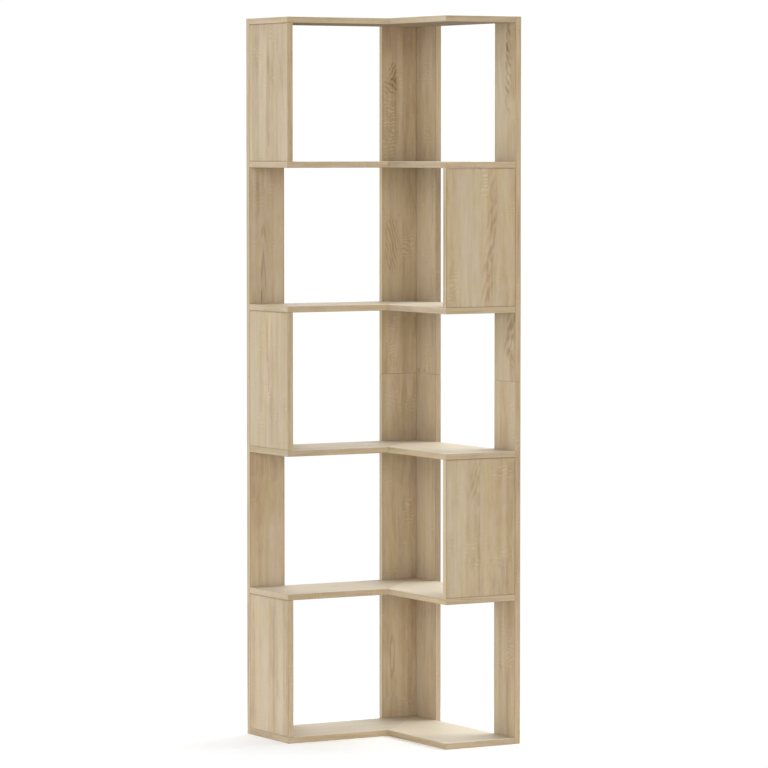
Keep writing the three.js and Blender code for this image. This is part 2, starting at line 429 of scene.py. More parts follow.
def build_face_group():
    """Tells a board's faces apart and lays a flat pattern on each: along its grain and across it."""
    tree, graph, given, result = new_group(
        "board_face",
        [("Grain", "Vector"), ("Cross", "Vector"), ("Thick", "Vector"), ("Seed", "Float"),
         ("Raw Low", "Float"), ("Raw High", "Float"),
         ("Centre", "Vector"), ("Half", "Vector"), ("Centre 2", "Vector"), ("Half 2", "Vector")],
        [("Along", "Float"), ("Across", "Float"), ("Layer", "Float"),
         ("Flat", "Float"), ("Upper", "Float"), ("Rim", "Float"), ("Raw", "Float")],
    )
    coordinates = graph.node("ShaderNodeTexCoord").outputs
    place = coordinates["Object"]
    facing = coordinates["Normal"]

    def share(vector, axis):
        return graph.vector("DOT_PRODUCT", vector, given[axis])

    along_grain = share(place, "Grain")
    across_grain = share(place, "Cross")
    through = share(place, "Thick")
    faces_grain = share(facing, "Grain")
    faces_cross = share(facing, "Cross")
    faces_thick = share(facing, "Thick")
    low_end = graph.math("LESS_THAN", faces_grain, -STEEP)
    high_end = graph.math("GREATER_THAN", faces_grain, STEEP)
    is_end = graph.add(low_end, high_end)
    is_side = graph.math("GREATER_THAN", graph.math("ABSOLUTE", faces_cross), STEEP)
    is_edge = graph.add(is_end, is_side)
    is_flat = graph.invert(is_edge)
    along = graph.add(graph.multiply(along_grain, graph.invert(is_end)),
                      graph.multiply(across_grain, is_end))
    across = graph.add(graph.multiply(across_grain, is_flat), graph.multiply(through, is_edge))
    upper_side = graph.math("GREATER_THAN", faces_thick, 0.0)
    far_side = graph.math("GREATER_THAN", faces_cross, 0.0)
    face_seeds = graph.add(graph.multiply(upper_side, FACE_SEED["upper"]),
                           graph.multiply(is_side, FACE_SEED["side"]),
                           graph.multiply(is_end, FACE_SEED["end"]),
                           graph.multiply(far_side, FACE_SEED["far"]))
    rims = []
    for label in ("", " 2"):
        offset = graph.vector("ABSOLUTE", graph.vector("SUBTRACT", place, given["Centre" + label]))
        inside = graph.vector("SUBTRACT", given["Half" + label], offset)
        rims.append(graph.math("MINIMUM", share(inside, "Grain"), share(inside, "Cross")))
    raw = graph.add(graph.multiply(low_end, given["Raw Low"]),
                    graph.multiply(high_end, given["Raw High"]))
    graph.feed(result["Along"], along)
    graph.feed(result["Across"], across)
    graph.feed(result["Layer"], graph.add(given["Seed"], face_seeds))
    graph.feed(result["Flat"], is_flat)
    graph.feed(result["Upper"], graph.multiply(is_flat, upper_side))
    graph.feed(result["Rim"], graph.math("MAXIMUM", *rims))
    graph.feed(result["Raw"], raw)
    return tree


def build_laminate_group():
    """The oak print: staves, soft bands, fibres, pores, growth rings and saw marks."""
    tree, graph, given, result = new_group(
        "oak_laminate",
        [("Along", "Float"), ("Across", "Float"), ("Layer", "Float"), ("Tone", "Float"),
         ("Tint", "Float"), ("Rings", "Float"), ("Figured", "Float"), ("Strokes", "Float"),
         ("Sawn", "Float")],
        [("Color", "Color"), ("Height", "Float"), ("Roughness", "Float")],
    )
    along = given["Along"]
    across = given["Across"]
    layer = given["Layer"]
    waver = graph.streaks(across, along, WAVER_SIZE, layer)
    bent = graph.add(across, graph.swing(waver, WAVER_REACH))

    # Staves: strips of random width, each cut into long pieces of its own tone
    place = graph.add(graph.multiply(across, 1 / STAVE_WIDTH), graph.multiply(layer, STRIP_SEED))
    strip = graph.node("ShaderNodeTexVoronoi", {"W": place, "Scale": 1.0},
                       voronoi_dimensions="1D", feature="F1").outputs["Color"]
    strip_share = graph.separate(strip)[0]
    stretch = graph.add(graph.multiply(along, 1 / STAVE_LENGTH),
                        graph.multiply(strip_share, PIECE_SEED))
    piece_number = graph.math("FLOOR", stretch)
    piece = graph.node("ShaderNodeTexWhiteNoise",
                       {"Vector": graph.combine(strip_share, piece_number, layer)},
                       noise_dimensions="3D").outputs["Color"]
    tone_share, tint_share, patch_share = graph.separate(piece)
    stave_layer = graph.add(graph.multiply(layer, STAVE_LAYER_SEED),
                            graph.multiply(patch_share, STAVE_PATCH_SEED))

    def streaks(kind, source=stave_layer):
        size, seed, detail, roughness = LAYERS[kind]
        return graph.streaks(bent, along, size, graph.add(source, seed), detail=detail,
                             roughness=roughness)

    bands = streaks("bands")
    lines = streaks("lines")
    blotches = streaks("blotches")
    drift = streaks("drift", source=layer)
    fibres = streaks("fibres")
    pores = graph.step(streaks("pores"), *PORE_RANGE)

    # Growth rings: level lines of a stretched noise, strong only in patches and chosen figures
    field = graph.add(graph.multiply(streaks("rings"), GROWTH_RINGS), given["Rings"],
                      graph.swing(fibres, RING_STRAY))
    patches = graph.step(streaks("figure patches"), *FIGURE_PATCH_RANGE)
    ringed = graph.clamp(graph.add(graph.multiply(patches, RANDOM_RINGS), given["Figured"]))
    dark_rings = graph.multiply(graph.step(graph.wave(field), *RING_RANGE), ringed)

    # Saw marks: pale lines square to the grain, in patches that are one stave wide
    patch_line = graph.noise_line(graph.add(graph.multiply(along, 1 / SAW_PATCH_LENGTH),
                                            graph.multiply(patch_share, SAW_PATCH_SEED)))
    random_sawn = graph.multiply(graph.step(patch_line, *SAW_PATCH_RANGE), RANDOM_SAW_MARKS)
    sawn_patch = graph.clamp(graph.add(random_sawn, given["Sawn"]))
    wander = graph.swing(streaks("saw wander"), SAW_STRAY)
    saw_wave = graph.wave(graph.add(graph.multiply(along, 1 / SAW_PITCH), wander))
    saw_strength = graph.step(streaks("saw clusters"), *SAW_CLUSTER_RANGE)
    saw_lines = graph.multiply(graph.step(saw_wave, *SAW_LINE_RANGE), sawn_patch, saw_strength)

    value = graph.add(
        TONE["base"],
        given["Tone"],
        graph.swing(tone_share, TONE["staves"]),
        graph.swing(bands, TONE["bands"]),
        graph.swing(lines, TONE["lines"]),
        graph.swing(blotches, TONE["blotches"]),
        graph.swing(drift, TONE["drift"]),
        graph.swing(fibres, TONE["fibres"]),
        graph.multiply(pores, TONE["pores"]),
        graph.multiply(dark_rings, TONE["rings"]),
        graph.multiply(given["Strokes"], TONE["strokes"]),
        graph.multiply(saw_lines, TONE["saw lines"]),
        graph.multiply(sawn_patch, TONE["sawn patch"]))
    colour = graph.ramp(value, OAK_TONES)
    tint_place = graph.clamp(graph.add(tint_share, graph.swing(drift, DRIFT_TINT), given["Tint"]))
    tint = graph.mix_colour(tint_place, rgba(PINK_TINT), rgba(GREEN_TINT))
    hue_place = graph.step(streaks("hue"), *HUE_RANGE)
    hue = graph.mix_colour(hue_place, rgba(OLIVE_TINT), rgba(LILAC_TINT))
    colour = graph.mix_colour(1.0, colour, tint, blend="MULTIPLY")
    colour = graph.mix_colour(1.0, colour, hue, blend="MULTIPLY")
    height = graph.add(
        graph.multiply(fibres, HEIGHT["fibres"]),
        graph.multiply(pores, HEIGHT["pores"]),
        graph.multiply(dark_rings, HEIGHT["rings"]),
        graph.multiply(given["Strokes"], HEIGHT["strokes"]),
        graph.multiply(saw_lines, HEIGHT["saw lines"]))
    roughness = graph.add(
        ROUGHNESS["base"],
        graph.swing(fibres, ROUGHNESS["fibres"]),
        graph.multiply(pores, ROUGHNESS["pores"]),
        graph.multiply(saw_lines, ROUGHNESS["saw lines"]))
    graph.feed(result["Color"], colour)
    graph.feed(result["Height"], height)
    graph.feed(result["Roughness"], roughness)
    return tree


def build_mark_group():
    """The soft area of one chosen mark in the print, with nearly straight sides along the grain."""
    tree, graph, given, result = new_group(
        "grain_mark",
        [("Along", "Float"), ("Across", "Float"), ("Centre Along", "Float"),
         ("Centre Across", "Float"), ("Half Length", "Float"), ("Half Width", "Float"),
         ("Lean", "Float")],
        [("Share", "Float"), ("Hill", "Float"), ("Along", "Float"), ("Across", "Float")],
    )
    along = graph.subtract(given["Along"], given["Centre Along"])
    offset = graph.subtract(given["Across"], given["Centre Across"])
    across = graph.subtract(offset, graph.multiply(along, given["Lean"]))
    along_share = graph.math("DIVIDE", along, given["Half Length"])
    across_share = graph.math("DIVIDE", across, given["Half Width"])
    along_square = graph.multiply(along_share, along_share)
    across_square = graph.multiply(across_share, across_share)
    edge = graph.add(graph.multiply(along_square, along_square),
                     graph.multiply(across_square, across_square))
    graph.feed(result["Share"], graph.invert(graph.step(edge, *MARK_RANGE)))
    graph.feed(result["Hill"], graph.math("DIVIDE", 1.0, graph.add(1.0, along_square, across_square)))
    graph.feed(result["Along"], along)
    graph.feed(result["Across"], offset)
    return tree


def build_stroke_group():
    """Short dark strokes one above another, each leaning across the grain."""
    tree, graph, given, result = new_group(
        "grain_strokes",
        [("Along", "Float"), ("Across", "Float"), ("Pitch", "Float"), ("Lean", "Float")],
        [("Dark", "Float")],
    )
    along = given["Along"]
    across = given["Across"]
    wander = graph.streaks(across, along, STROKE_WANDER_SIZE, given["Pitch"], detail=2.0)
    climb = graph.subtract(along, graph.math("DIVIDE", across, given["Lean"]))
    turns = graph.add(graph.math("DIVIDE", climb, given["Pitch"]), graph.swing(wander, STROKE_STRAY))
    graph.feed(result["Dark"], graph.step(graph.wave(turns), *STROKE_RANGE))
    return tree


def build_chipboard_group():
    """The raw core that shows only where a board's end has no edge band."""
    tree, graph, given, result = new_group(
        "chipboard_core", [], [("Color", "Color"), ("Height", "Float")])
    place = graph.place()
    chips = graph.node("ShaderNodeTexVoronoi", {"Vector": place, "Scale": CHIP_SCALE},
                       voronoi_dimensions="3D", feature="F1").outputs
    dust = graph.noise(graph.scale(place, DUST_SCALE), detail=3.0)
    tone = graph.add(graph.multiply(graph.separate(chips["Color"])[0], CHIP_TONE),
                     graph.swing(dust, DUST_TONE), CHIPBOARD_BASE_TONE)
    graph.feed(result["Color"], graph.ramp(tone, CHIPBOARD_TONES))
    graph.feed(result["Height"], tone)
    return tree


FACE_GROUP = build_face_group()
LAMINATE_GROUP = build_laminate_group()
MARK_GROUP = build_mark_group()
STROKE_GROUP = build_stroke_group()
CHIPBOARD_GROUP = build_chipboard_group()


# Marks: the figures, bands and saw marks that the photograph shows on particular boards, and
# whole-board bands of painted shade on the left corner uprights
def mark(kind, up, across, length, width, **details):
    """A mark on a board's side towards the front, with its whole length along the grain and its
    whole width. Its centre is placed up from the board's low end and across from its low side."""
    return {"kind": kind, "up": up, "across": across, "length": length, "width": width, **details}


def band(up, across, length, width, tone, tint=0.0):
    """A paler or darker stretch, pinker with a tint below 0 and greener above."""
    return mark("band", up, across, length, width, tone=tone, tint=tint)


def sawn(up, across, length, width, strength=1.0):
    """Saw marks square to the grain. A strength below 0 takes the print's random ones away."""
    return mark("sawn", up, across, length, width, strength=strength)


def figure(up, across, length, width, rings, strength):
    """A long oval of growth rings."""
    return mark("figure", up, across, length, width, rings=rings, strength=strength)


def strokes(up, across, length, width, pitch, slant, strength, lean=0.0):
    """Leaning dark strokes, a pitch apart, in an area that leans on its own."""
    return mark("strokes", up, across, length, width, pitch=pitch, slant=slant, lean=lean,
                strength=strength)


MARKS = {
    "end_panel_right_tier_4": (
        band(0.171, 0.011, 0.360, 0.026, tone=-0.01, tint=-0.5),
        band(0.171, 0.062, 0.360, 0.080, tone=0.09, tint=0.6),
        band(0.171, 0.168, 0.360, 0.070, tone=0.03, tint=-0.3),
        band(0.130, 0.116, 0.330, 0.038, tone=-0.03, tint=-0.5),
        band(0.171, 0.078, 0.360, 0.044, tone=-0.06),
        band(0.268, 0.134, 0.210, 0.038, tone=-0.08, tint=-1.5),
        band(0.300, 0.088, 0.120, 0.030, tone=-0.08, tint=-0.5),
        strokes(0.280, 0.130, 0.150, 0.030, pitch=0.050, slant=0.40, lean=-0.05, strength=0.35),
        strokes(0.110, 0.121, 0.270, 0.032, pitch=0.046, slant=0.38, lean=0.10, strength=0.55),
        band(0.131, 0.127, 0.046, 0.012, tone=-0.12),
        band(0.094, 0.119, 0.040, 0.012, tone=-0.10),
        sawn(0.300, 0.110, 0.075, 0.022),
        sawn(0.050, 0.020, 0.095, 0.036, strength=0.6),
        sawn(0.300, 0.020, 0.110, 0.060, strength=-0.4),
    ),
    "end_panel_right_tier_2": (
        band(0.171, 0.031, 0.360, 0.062, tone=0.09, tint=0.6),
        band(0.171, 0.150, 0.360, 0.100, tone=0.04, tint=-0.5),
        band(0.150, 0.188, 0.400, 0.032, tone=-0.13, tint=-0.9),
        band(0.110, 0.095, 0.240, 0.008, tone=-0.12),
        band(0.240, 0.072, 0.220, 0.038, tone=-0.07),
        band(0.130, 0.137, 0.180, 0.026, tone=0.07),
        band(0.085, 0.011, 0.190, 0.028, tone=-0.09),
        band(0.040, 0.165, 0.110, 0.032, tone=-0.08),
        strokes(0.288, 0.083, 0.110, 0.026, pitch=0.034, slant=0.34, lean=0.15, strength=0.5),
        band(0.241, 0.094, 0.040, 0.010, tone=-0.14),
        strokes(0.050, 0.115, 0.090, 0.050, pitch=0.036, slant=0.40, strength=0.15),
        sawn(0.105, 0.076, 0.060, 0.052, strength=0.7),
        sawn(0.306, 0.160, 0.036, 0.068, strength=0.45),
    ),
    "end_panel_left_tier_5": (
        band(0.165, 0.099, 0.260, 0.016, tone=-0.08),
        band(0.171, 0.130, 0.360, 0.038, tone=0.15),
        band(0.080, 0.024, 0.220, 0.058, tone=0.13, tint=0.3),
        band(0.172, 0.078, 0.180, 0.010, tone=-0.06),
        band(0.240, 0.100, 0.050, 0.008, tone=-0.12),
        band(0.056, 0.097, 0.040, 0.007, tone=-0.12),
    ),
    "end_panel_left_tier_3": (
        band(0.270, 0.108, 0.120, 0.0055, tone=-0.30),
        band(0.190, 0.101, 0.100, 0.008, tone=-0.16),
        band(0.070, 0.085, 0.150, 0.034, tone=-0.09, tint=0.8),
        band(0.180, 0.172, 0.400, 0.060, tone=0.09, tint=1.1),
        band(0.160, 0.070, 0.360, 0.044, tone=-0.05, tint=-0.8),
        band(0.155, 0.162, 0.140, 0.028, tone=-0.09),
        band(0.210, 0.087, 0.220, 0.028, tone=-0.07),
        band(0.240, 0.112, 0.260, 0.026, tone=0.06),
        band(0.290, 0.094, 0.100, 0.010, tone=0.10),
        band(0.270, 0.072, 0.120, 0.012, tone=0.07),
        sawn(0.146, 0.106, 0.045, 0.036),
        sawn(0.100, 0.080, 0.060, 0.050, strength=0.4),
    ),
    "end_panel_left_tier_1": (
        band(0.171, 0.073, 0.360, 0.014, tone=-0.10, tint=0.4),
        band(0.171, 0.040, 0.360, 0.032, tone=0.14),
        band(0.250, 0.086, 0.240, 0.030, tone=-0.08),
        band(0.171, 0.062, 0.360, 0.026, tone=0.06),
        band(0.080, 0.168, 0.180, 0.050, tone=-0.06),
        band(0.171, 0.188, 0.360, 0.030, tone=-0.08, tint=0.6),
        band(0.171, 0.005, 0.360, 0.014, tone=-0.08, tint=0.4),
    ),
    "upright_left_end_upper": (
        figure(0.303, 0.040, 0.190, 0.016, rings=1.6, strength=0.8),
        band(0.310, 0.084, 0.360, 0.034, tone=0.09, tint=1.1),
        band(0.464, 0.025, 0.130, 0.009, tone=-0.10),
        band(0.503, 0.045, 0.060, 0.005, tone=0.14),
        band(0.204, 0.035, 0.040, 0.003, tone=-0.40),
    ),
    "upright_left_end_lower": (
        band(0.440, 0.050, 0.180, 0.400, tone=0.06),
        band(0.600, 0.012, 0.320, 0.028, tone=-0.09, tint=-0.8),
        band(0.440, 0.076, 0.260, 0.050, tone=0.11, tint=0.3),
        band(0.400, 0.050, 0.100, 0.080, tone=0.07),
        band(0.690, 0.012, 0.080, 0.028, tone=-0.08),
        band(0.576, 0.027, 0.130, 0.013, tone=-0.04, tint=-1.5),
        band(0.664, 0.074, 0.060, 0.016, tone=-0.10),
        band(0.419, 0.039, 0.095, 0.006, tone=0.12),
    ),
    "upright_left_corner_upper": (
        # Painted shade: the whole board darkened for the corner it stands in
        band(0.450, 0.050, 1.400, 0.400, tone=-0.07),
        band(0.730, 0.050, 0.340, 0.400, tone=-0.07),
        band(0.450, 0.010, 0.900, 0.022, tone=0.09),
        band(0.080, 0.075, 0.190, 0.052, tone=-0.08, tint=1.0),
        band(0.680, 0.038, 0.280, 0.024, tone=-0.08),
        band(0.714, 0.019, 0.350, 0.038, tone=-0.03),
        band(0.714, 0.040, 0.350, 0.003, tone=-0.14),
        strokes(0.770, 0.031, 0.050, 0.026, pitch=0.016, slant=0.75, strength=0.9),
        strokes(0.734, 0.024, 0.046, 0.040, pitch=0.015, slant=-1.60, strength=0.8),
        sawn(0.627, 0.021, 0.190, 0.040, strength=0.9),
        strokes(0.330, 0.028, 0.150, 0.042, pitch=0.032, slant=-0.28, strength=0.6),
        sawn(0.325, 0.076, 0.068, 0.038, strength=0.9),
        sawn(0.050, 0.025, 0.090, 0.034, strength=0.8),
        sawn(0.130, 0.034, 0.060, 0.034, strength=0.6),
    ),
    "upright_left_corner_lower": (
        # Painted shade: the whole board darkened for the corner it stands in
        band(0.450, 0.050, 1.400, 0.400, tone=-0.07),
        band(0.543, 0.050, 0.400, 0.400, tone=0.06),
        band(0.190, 0.088, 0.400, 0.030, tone=-0.08),
        band(0.815, 0.078, 0.190, 0.046, tone=-0.07, tint=0.9),
        band(0.815, 0.012, 0.200, 0.028, tone=0.11),
        band(0.543, 0.060, 0.360, 0.036, tone=0.00, tint=0.9),
        band(0.100, 0.012, 0.180, 0.028, tone=0.12),
        band(0.844, 0.025, 0.110, 0.028, tone=0.08),
        sawn(0.550, 0.075, 0.080, 0.042, strength=0.7),
        figure(0.182, 0.030, 0.160, 0.026, rings=2.0, strength=0.4),
        band(0.186, 0.078, 0.350, 0.044, tone=-0.05),
    ),
    "upright_right_corner_upper": (
        band(0.700, 0.050, 0.400, 0.400, tone=-0.05),
        band(0.690, 0.024, 0.330, 0.054, tone=-0.07, tint=-0.8),
        band(0.080, 0.038, 0.170, 0.028, tone=0.11),
        band(0.357, 0.088, 0.360, 0.028, tone=0.09),
        band(0.357, 0.014, 0.360, 0.030, tone=-0.08, tint=-0.9),
        sawn(0.594, 0.040, 0.100, 0.044, strength=0.8),
        band(0.438, 0.017, 0.125, 0.005, tone=-0.16),
        sawn(0.045, 0.042, 0.080, 0.038, strength=0.8),
        band(0.008, 0.087, 0.012, 0.014, tone=-0.25),
        band(0.008, 0.057, 0.012, 0.012, tone=-0.20),
    ),
    "upright_right_corner_lower": (
        band(0.825, 0.062, 0.150, 0.028, tone=-0.12),
        band(0.543, 0.012, 0.360, 0.028, tone=-0.10),
        band(0.210, 0.062, 0.320, 0.028, tone=-0.08, tint=0.8),
        band(0.210, 0.012, 0.320, 0.028, tone=-0.08, tint=0.8),
    ),
    "upright_right_end_upper": (
        band(0.640, 0.080, 0.300, 0.040, tone=0.09, tint=0.9),
        band(0.790, 0.012, 0.200, 0.030, tone=-0.19, tint=-0.6),
        band(0.590, 0.012, 0.120, 0.028, tone=-0.10),
        band(0.800, 0.037, 0.060, 0.024, tone=-0.10),
        band(0.030, 0.014, 0.080, 0.028, tone=-0.15, tint=-0.6),
        band(0.850, 0.035, 0.120, 0.026, tone=-0.06),
        strokes(0.785, 0.037, 0.200, 0.030, pitch=0.026, slant=0.75, strength=0.9),
        strokes(0.700, 0.038, 0.090, 0.034, pitch=0.030, slant=0.75, strength=0.6),
        band(0.826, 0.041, 0.026, 0.011, tone=-0.40),
        band(0.868, 0.036, 0.040, 0.016, tone=-0.22),
        band(0.840, 0.080, 0.100, 0.050, tone=-0.07),
        band(0.600, 0.030, 0.130, 0.022, tone=-0.07, tint=-0.4),
        band(0.086, 0.076, 0.172, 0.050, tone=0.02, tint=1.0),
        strokes(0.118, 0.028, 0.120, 0.046, pitch=0.044, slant=-0.70, lean=-0.20, strength=0.9),
        band(0.120, 0.022, 0.140, 0.044, tone=-0.10),
        band(0.092, 0.022, 0.030, 0.022, tone=0.18),
        strokes(0.060, 0.020, 0.060, 0.040, pitch=0.020, slant=0.80, strength=0.4),
    ),
    "upright_right_end_lower": (
        band(0.255, 0.050, 0.260, 0.400, tone=-0.05),
        band(0.200, 0.024, 0.400, 0.056, tone=-0.12, tint=-0.4),
        band(0.100, 0.037, 0.180, 0.008, tone=-0.10),
        band(0.150, 0.090, 0.400, 0.028, tone=0.16, tint=1.0),
        band(0.270, 0.012, 0.200, 0.028, tone=-0.08),
        band(0.820, 0.086, 0.200, 0.030, tone=0.08, tint=1.0),
        sawn(0.830, 0.020, 0.040, 0.030, strength=0.6),
        sawn(0.222, 0.020, 0.074, 0.034, strength=0.6),
        band(0.800, 0.060, 0.200, 0.050, tone=-0.01, tint=-0.6),
    ),
}


def is_board(name):
    return name.startswith(("shelf_", "upright_", "end_panel_"))


def is_shelf(name):
    return name.startswith("shelf_")


def board_axes(name):
    """Indices of a board's grain, cross and thickness axes."""
    low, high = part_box(name)
    size = high - low
    thick = min(range(3), key=lambda axis: size[axis])
    grain = 0 if is_shelf(name) else 2
    return grain, 3 - thick - grain, thick


def inner_corner():
    """The point of the shelves' plan where the two wings' front edges meet."""
    return Vector((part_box("end_panel_right_tier_2")[0].x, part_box("end_panel_left_tier_1")[0].y, 0))


def board_boxes(name):
    """The boxes whose rims have a seam: one for a plain board, and the two wings' for an L-shaped
    shelf. An upright's box goes past its ends, because its print runs on over the splice."""
    low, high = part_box(name)
    if name.startswith("upright_"):
        past = AXES[2] * RIM_DARK_WIDTH * 2
        low, high = low - past, high + past
    if not is_shelf(name):
        return (low, high), (low, high)
    corner = inner_corner()
    return (Vector((low.x, corner.y, low.z)), high), (Vector((corner.x, low.y, low.z)), high)


def lay_wings(graph):
    """On a shelf the print turns along a mitre: each wing has its grain along its own length."""
    corner = inner_corner()
    place = graph.separate(graph.place())
    past = graph.subtract(graph.subtract(place[0], place[1]), corner.x - corner.y)
    right_wing = graph.math("GREATER_THAN", past, 0.0)
    beside = graph.multiply(graph.math("ABSOLUTE", past), math.sqrt(0.5))
    mitre = graph.invert(graph.step(beside, 0.0, SEAM_WIDTH / 2))
    grain = graph.mix_vector(right_wing, AXES[0], AXES[1])
    cross = graph.mix_vector(right_wing, AXES[1], AXES[0])
    return grain, cross, right_wing, mitre


def lay_marks(graph, name, face):
    """Adds up what a board's marks give to its print."""
    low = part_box(name)[0]
    grain, cross = board_axes(name)[:2]
    sums = {"Tone": 0.0, "Tint": 0.0, "Rings": 0.0, "Figured": 0.0, "Strokes": 0.0, "Sawn": 0.0}
    shown_side = graph.subtract(face["Flat"], face["Upper"])

    def give(key, share, amount):
        sums[key] = graph.add(sums[key], graph.multiply(share, shown_side, amount))

    for item in MARKS.get(name, ()):
        area = use_group(graph, MARK_GROUP, {
            "Along": face["Along"], "Across": face["Across"],
            "Centre Along": low[grain] + item["up"], "Centre Across": low[cross] + item["across"],
            "Half Length": item["length"] / 2, "Half Width": item["width"] / 2,
            "Lean": item.get("lean", 0.0)})
        if item["kind"] == "band":
            give("Tone", area["Share"], item["tone"])
            give("Tint", area["Share"], item["tint"])
        elif item["kind"] == "sawn":
            give("Sawn", area["Share"], item["strength"])
        elif item["kind"] == "figure":
            give("Rings", area["Hill"], item["rings"])
            give("Figured", area["Share"], item["strength"])
        else:
            dark = use_group(graph, STROKE_GROUP, {
                "Along": area["Along"], "Across": area["Across"],
                "Pitch": item["pitch"], "Lean": item["slant"]})["Dark"]
            give("Strokes", graph.multiply(area["Share"], dark), item["strength"])
    return sums


def extra_streaks(graph, face, size, amount):
    """Streaks along the grain as a change of tone."""
    noise = graph.streaks(face["Across"], face["Along"], size, face["Layer"], detail=2.0)
    return graph.swing(noise, amount)


def unshaded_share(graph):
    """1 out on a board and less towards a corner with another one, from ambient occlusion: it sets
    where shade is painted.
    """
    made = graph.node("ShaderNodeAmbientOcclusion", {"Distance": CORNER_SHADE_REACH}, samples=CORNER_SHADE_SAMPLES)
    return graph.step(made.outputs["AO"], *CORNER_SHADE_RANGE)


def finish_board(name, seed):
    """Gives a board its laminate, laid along its own grain."""
    material, graph = new_material("oak_laminate_" + name)
    first, second = board_boxes(name)
    grain, cross, thick = (AXES[axis] for axis in board_axes(name))
    right_wing = 0.0
    mitre = 0.0
    if is_shelf(name):
        grain, cross, right_wing, mitre = lay_wings(graph)
    hidden_low = not is_shelf(name)
    hidden_high = name.startswith("end_panel_") or name.endswith("_lower")
    face = use_group(graph, FACE_GROUP, {
        "Grain": grain, "Cross": cross, "Thick": thick,
        "Seed": graph.add(seed, graph.multiply(right_wing, WING_SEED)),
        "Raw Low": float(hidden_low), "Raw High": float(hidden_high),
        "Centre": (first[0] + first[1]) / 2, "Half": (first[1] - first[0]) / 2,
        "Centre 2": (second[0] + second[1]) / 2, "Half 2": (second[1] - second[0]) / 2})
    flat = face["Flat"]
    given = lay_marks(graph, name, face)
    streaks = graph.multiply(extra_streaks(graph, face, EDGE_STREAK_SIZE, EDGE_STREAK_TONE),
                             graph.invert(flat))
    given["Tone"] = graph.add(given["Tone"], streaks)
    if is_shelf(name):
        streaks = extra_streaks(graph, face, TOP_STREAK_SIZE, TOP_STREAK_TONE)
        given["Tone"] = graph.add(given["Tone"], graph.multiply(streaks, face["Upper"]))
    laminate = use_group(graph, LAMINATE_GROUP, {
        "Along": face["Along"], "Across": face["Across"], "Layer": face["Layer"], **given})
    core = use_group(graph, CHIPBOARD_GROUP, {})

    seam_offset = graph.math("ABSOLUTE", graph.subtract(face["Rim"], SEAM_INSET))
    seam = graph.invert(graph.step(seam_offset, SEAM_WIDTH / 4, SEAM_WIDTH / 2))
    seam = graph.multiply(graph.math("MAXIMUM", seam, graph.multiply(mitre, MITRE_SHARE)), flat)
    rubbed = graph.multiply(graph.invert(graph.step(face["Rim"], 0.0, CHAMFER_WIDTH)), flat)
    # A darker strip along each face's rim, multiplied into the colour
    rim_dark = graph.multiply(graph.invert(graph.step(face["Rim"], 0.0, RIM_DARK_WIDTH)), flat,
                           RIM_DARK_SHARE)
    colour = graph.mix_colour(rim_dark, laminate["Color"], rgba(RIM_DARK_COLOUR), blend="MULTIPLY")
    colour = graph.mix_colour(graph.multiply(rubbed, RUBBED_SHARE), colour, rgba(RUBBED_COLOUR))
    if is_shelf(name):
        # Painted sheen: the tops' colour is mixed towards a pale colour, more on the right wing, so
        # that they look lit along their surface
        left_sheen_share, right_sheen_share = PAINTED_SHEEN_SHARES[name]
        share = graph.add(left_sheen_share, graph.multiply(right_wing, right_sheen_share - left_sheen_share))
        colour = graph.mix_colour(graph.multiply(face["Upper"], share), colour, rgba(PAINTED_SHEEN_COLOUR))
        # Painted shade: the tops are darkened towards the uprights and panels
        corner = graph.multiply(graph.invert(unshaded_share(graph)), face["Upper"])
        colour = graph.mix_colour(corner, colour, rgba(CORNER_SHADE_COLOUR), blend="MULTIPLY")
        # Painted shade: the shelves' undersides are darkened
        underside_shade = graph.subtract(flat, face["Upper"])
        colour = graph.mix_colour(underside_shade, colour, rgba(UNDERSIDE_SHADE_COLOUR), blend="MULTIPLY")
    colour = graph.mix_colour(graph.multiply(seam, SEAM_SHARE), colour, rgba(SEAM_COLOUR))
    colour = graph.mix_colour(face["Raw"], colour, core["Color"])
    height = graph.add(laminate["Height"], graph.multiply(seam, SEAM_HEIGHT),
                       graph.multiply(face["Raw"], core["Height"]))
    roughness = graph.add(laminate["Roughness"], graph.multiply(face["Raw"], CHIPBOARD_ROUGHNESS))
    end_material(graph, {
        "Base Color": colour,
        "Roughness": roughness,
        "Sheen Weight": SHELF_SHEEN if is_shelf(name) else SHEEN,
        "Sheen Tint": rgba(SHEEN_TINT),
        "Normal": graph.bump(height, *LAMINATE_BUMP),
        "Specular IOR Level": LAMINATE_SPECULAR})
    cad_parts[name].data.materials.clear()
    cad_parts[name].data.materials.append(material)


def steel_material():
    """Zinc-plated steel with a soft mottle and fine scuffs."""
    material, graph = new_material("zinc_steel")
    place = graph.place()
    mottle = graph.noise(graph.scale(place, STEEL_MOTTLE_SCALE), detail=3.0)
    scuffs = graph.noise(graph.vector("MULTIPLY", place, STEEL_SCUFF_SCALE), detail=2.0)
    roughness = graph.add(STEEL_ROUGHNESS["base"],
                          graph.swing(mottle, STEEL_ROUGHNESS["mottle"]),
                          graph.swing(scuffs, STEEL_ROUGHNESS["scuffs"]))
    end_material(graph, {
        "Base Color": graph.ramp(mottle, STEEL_TONES),
        "Metallic": 1.0,
        "Roughness": roughness,
        "Normal": graph.bump(scuffs, *STEEL_BUMP)})
    return material


